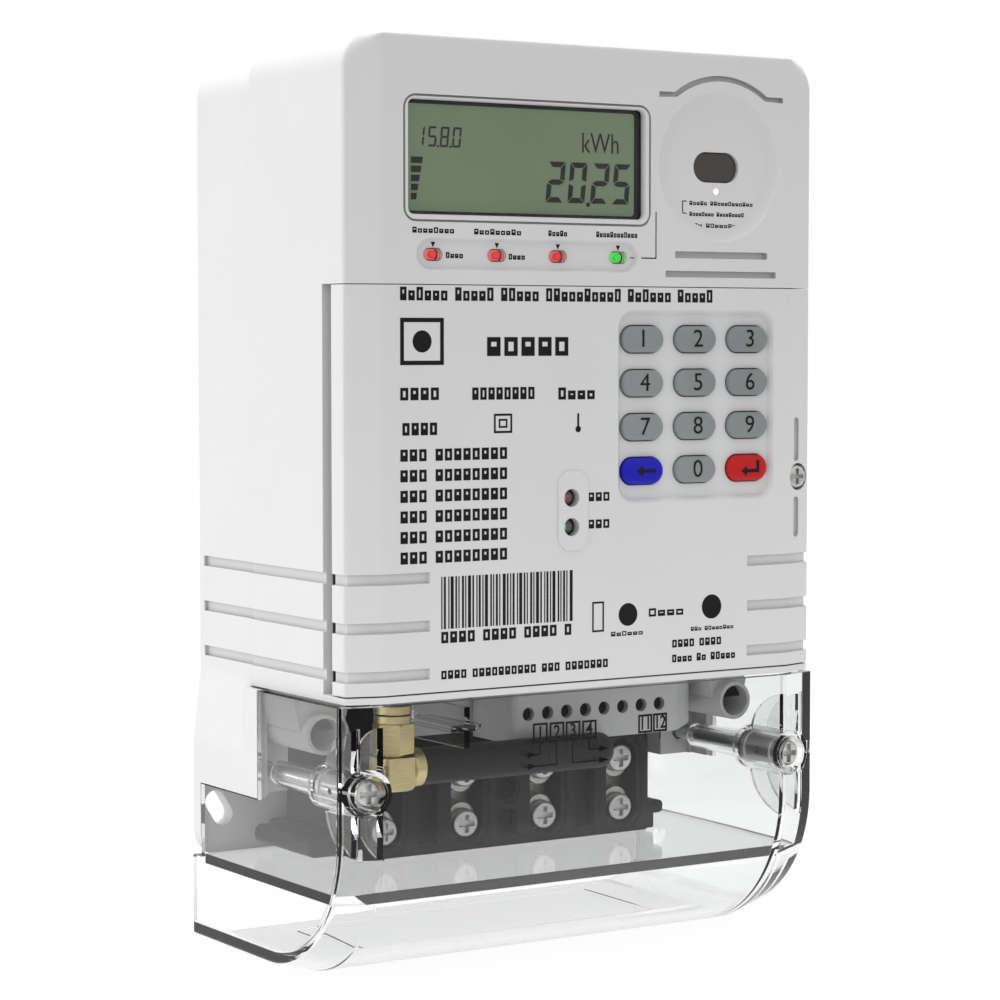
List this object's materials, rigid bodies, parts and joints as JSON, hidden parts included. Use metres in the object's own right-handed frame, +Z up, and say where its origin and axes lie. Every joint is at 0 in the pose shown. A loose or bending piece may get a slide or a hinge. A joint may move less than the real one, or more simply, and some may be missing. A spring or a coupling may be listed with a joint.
{
  "type": "electricity meter",
  "caption": "Wall-mounted single-phase prepaid electricity meter with display, hinged keypad door, clear terminal cover and stub aerial.",
  "frame": {"origin": "centre of the flat back that lies on the wall, halfway across and 100 mm below the top of the case", "axes": "+X to the right seen from the front, +Y into the wall, +Z up"},
  "size_m": [0.1248, 0.0703, 0.201],
  "materials": {
    "case_white": "fine satin moulding",
    "block_black": "satin moulding",
    "clear_cover": "clear, polished",
    "zinc_steel": "zinc plated",
    "brass": "bare, drawn",
    "copper": "bare strip",
    "key_grey": "satin silicone",
    "key_blue": "satin silicone",
    "key_red": "satin silicone",
    "board_green": "solder-masked laminate",
    "seal_dark": "matte cord",
    "membrane_grey": "matte silicone",
    "lcd_green": "reflective liquid-crystal glass",
    "diffuser_white": "milky light guide",
    "lens_red": "tinted lens",
    "lens_green": "tinted lens",
    "optical_dark": "infrared filter",
    "battery_blue": "shrink sleeve",
    "relay_blue": "moulded case",
    "buzzer_black": "moulded case",
    "module_grey": "satin moulding",
    "aerial_black": "satin sleeve"
  },
  "bodies": {
    "meter": {"rear_case": "case_white", "front_case": "case_white", "terminal_block": "block_black", "aux_terminal_strip": "block_black", "display_window": "clear_cover", "case_screw_left": "zinc_steel", "case_screw_right": "zinc_steel", "hanging_bracket": "zinc_steel", "terminal_clamp_1": "brass", "terminal_clamp_2": "brass", "terminal_clamp_3": "brass", "terminal_clamp_4": "brass", "sma_socket": "brass", "current_shunt": "copper", "main_board": "board_green", "case_gasket": "seal_dark", "display_glass": "lcd_green", "display_backlight": "diffuser_white", "active_pulse_lamp": "lens_red", "reactive_pulse_lamp": "lens_red", "alarm_lamp": "lens_red", "power_lamp": "lens_red", "credit_lamp": "lens_green", "network_lamp": "lens_green", "optical_window": "optical_dark", "backup_battery": "battery_blue", "latching_relay": "relay_blue", "buzzer": "buzzer_black", "comm_module": "module_grey"},
    "door": {"front_door": "case_white", "keypad_board": "board_green", "keypad_membrane": "membrane_grey"},
    "door_lock": {"door_screw": "zinc_steel"},
    "cover": {"terminal_cover": "clear_cover"},
    "left_cover_screw": {"cover_screw_left": "zinc_steel"},
    "right_cover_screw": {"cover_screw_right": "zinc_steel"},
    "aerial": {"antenna_elbow": "brass", "antenna_sleeve": "aerial_black"},
    "aerial_nut": {"antenna_nut": "brass"},
    "key_0_cap": {"key_0": "key_grey"},
    "key_1_cap": {"key_1": "key_grey"},
    "key_2_cap": {"key_2": "key_grey"},
    "key_3_cap": {"key_3": "key_grey"},
    "key_4_cap": {"key_4": "key_grey"},
    "key_5_cap": {"key_5": "key_grey"},
    "key_6_cap": {"key_6": "key_grey"},
    "key_7_cap": {"key_7": "key_grey"},
    "key_8_cap": {"key_8": "key_grey"},
    "key_9_cap": {"key_9": "key_grey"},
    "key_back_cap": {"key_back": "key_blue"},
    "key_enter_cap": {"key_enter": "key_red"},
    "terminal_screw_1_upper_turn": {"terminal_screw_1_upper": "zinc_steel"},
    "terminal_screw_1_lower_turn": {"terminal_screw_1_lower": "zinc_steel"},
    "terminal_screw_2_upper_turn": {"terminal_screw_2_upper": "zinc_steel"},
    "terminal_screw_2_lower_turn": {"terminal_screw_2_lower": "zinc_steel"},
    "terminal_screw_3_upper_turn": {"terminal_screw_3_upper": "zinc_steel"},
    "terminal_screw_3_lower_turn": {"terminal_screw_3_lower": "zinc_steel"},
    "terminal_screw_4_upper_turn": {"terminal_screw_4_upper": "zinc_steel"},
    "terminal_screw_4_lower_turn": {"terminal_screw_4_lower": "zinc_steel"}
  },
  "joints": [
    {"name": "door_hinge", "type": "hinge", "parent": "meter", "child": "door", "pos_m": [-0.0575, -0.0645, 0], "axis": [0, 0, -1], "range_deg": [0, 100]},
    {"name": "door_screw_turn", "type": "hinge", "parent": "door", "child": "door_lock", "pos_m": [0.057, -0.0686, 0.0051], "axis": [0, 1, 0], "continuous": true},
    {"name": "key_1_press", "type": "slide", "parent": "door", "child": "key_1_cap", "axis": [0, 1, 0], "range_m": [0, 0.0008], "stiffness_N_per_m": 600, "springref_m": -0.001},
    {"name": "key_2_press", "type": "slide", "parent": "door", "child": "key_2_cap", "axis": [0, 1, 0], "range_m": [0, 0.0008], "stiffness_N_per_m": 600, "springref_m": -0.001},
    {"name": "key_3_press", "type": "slide", "parent": "door", "child": "key_3_cap", "axis": [0, 1, 0], "range_m": [0, 0.0008], "stiffness_N_per_m": 600, "springref_m": -0.001},
    {"name": "key_4_press", "type": "slide", "parent": "door", "child": "key_4_cap", "axis": [0, 1, 0], "range_m": [0, 0.0008], "stiffness_N_per_m": 600, "springref_m": -0.001},
    {"name": "key_5_press", "type": "slide", "parent": "door", "child": "key_5_cap", "axis": [0, 1, 0], "range_m": [0, 0.0008], "stiffness_N_per_m": 600, "springref_m": -0.001},
    {"name": "key_6_press", "type": "slide", "parent": "door", "child": "key_6_cap", "axis": [0, 1, 0], "range_m": [0, 0.0008], "stiffness_N_per_m": 600, "springref_m": -0.001},
    {"name": "key_7_press", "type": "slide", "parent": "door", "child": "key_7_cap", "axis": [0, 1, 0], "range_m": [0, 0.0008], "stiffness_N_per_m": 600, "springref_m": -0.001},
    {"name": "key_8_press", "type": "slide", "parent": "door", "child": "key_8_cap", "axis": [0, 1, 0], "range_m": [0, 0.0008], "stiffness_N_per_m": 600, "springref_m": -0.001},
    {"name": "key_9_press", "type": "slide", "parent": "door", "child": "key_9_cap", "axis": [0, 1, 0], "range_m": [0, 0.0008], "stiffness_N_per_m": 600, "springref_m": -0.001},
    {"name": "key_back_press", "type": "slide", "parent": "door", "child": "key_back_cap", "axis": [0, 1, 0], "range_m": [0, 0.0008], "stiffness_N_per_m": 600, "springref_m": -0.001},
    {"name": "key_0_press", "type": "slide", "parent": "door", "child": "key_0_cap", "axis": [0, 1, 0], "range_m": [0, 0.0008], "stiffness_N_per_m": 600, "springref_m": -0.001},
    {"name": "key_enter_press", "type": "slide", "parent": "door", "child": "key_enter_cap", "axis": [0, 1, 0], "range_m": [0, 0.0008], "stiffness_N_per_m": 600, "springref_m": -0.001},
    {"name": "cover_pull", "type": "slide", "parent": "meter", "child": "cover", "axis": [0, -1, 0], "range_m": [0, 0.09]},
    {"name": "cover_screw_left_turn", "type": "hinge", "parent": "cover", "child": "left_cover_screw", "pos_m": [-0.0554, -0.068, -0.0582], "axis": [0, 1, 0], "continuous": true},
    {"name": "cover_screw_right_turn", "type": "hinge", "parent": "cover", "child": "right_cover_screw", "pos_m": [0.0554, -0.068, -0.0582], "axis": [0, 1, 0], "continuous": true},
    {"name": "aerial_swing", "type": "hinge", "parent": "meter", "child": "aerial", "pos_m": [-0.0426, -0.0554, -0.0554], "axis": [0, 0, -1], "range_deg": [0, 8]},
    {"name": "aerial_nut_turn", "type": "hinge", "parent": "meter", "child": "aerial_nut", "pos_m": [-0.0426, -0.0554, -0.048], "axis": [0, 0, 1], "continuous": true},
    {"name": "terminal_screw_1_upper_turn", "type": "hinge", "parent": "meter", "child": "terminal_screw_1_upper_turn", "pos_m": [-0.03195, -0.034, -0.0616], "axis": [0, 1, 0], "continuous": true},
    {"name": "terminal_screw_1_lower_turn", "type": "hinge", "parent": "meter", "child": "terminal_screw_1_lower_turn", "pos_m": [-0.03195, -0.034, -0.0733], "axis": [0, 1, 0], "continuous": true},
    {"name": "terminal_screw_2_upper_turn", "type": "hinge", "parent": "meter", "child": "terminal_screw_2_upper_turn", "pos_m": [-0.01065, -0.034, -0.0616], "axis": [0, 1, 0], "continuous": true},
    {"name": "terminal_screw_2_lower_turn", "type": "hinge", "parent": "meter", "child": "terminal_screw_2_lower_turn", "pos_m": [-0.01065, -0.034, -0.0733], "axis": [0, 1, 0], "continuous": true},
    {"name": "terminal_screw_3_upper_turn", "type": "hinge", "parent": "meter", "child": "terminal_screw_3_upper_turn", "pos_m": [0.01065, -0.034, -0.0616], "axis": [0, 1, 0], "continuous": true},
    {"name": "terminal_screw_3_lower_turn", "type": "hinge", "parent": "meter", "child": "terminal_screw_3_lower_turn", "pos_m": [0.01065, -0.034, -0.0733], "axis": [0, 1, 0], "continuous": true},
    {"name": "terminal_screw_4_upper_turn", "type": "hinge", "parent": "meter", "child": "terminal_screw_4_upper_turn", "pos_m": [0.03195, -0.034, -0.0616], "axis": [0, 1, 0], "continuous": true},
    {"name": "terminal_screw_4_lower_turn", "type": "hinge", "parent": "meter", "child": "terminal_screw_4_lower_turn", "pos_m": [0.03195, -0.034, -0.0733], "axis": [0, 1, 0], "continuous": true}
  ]
}
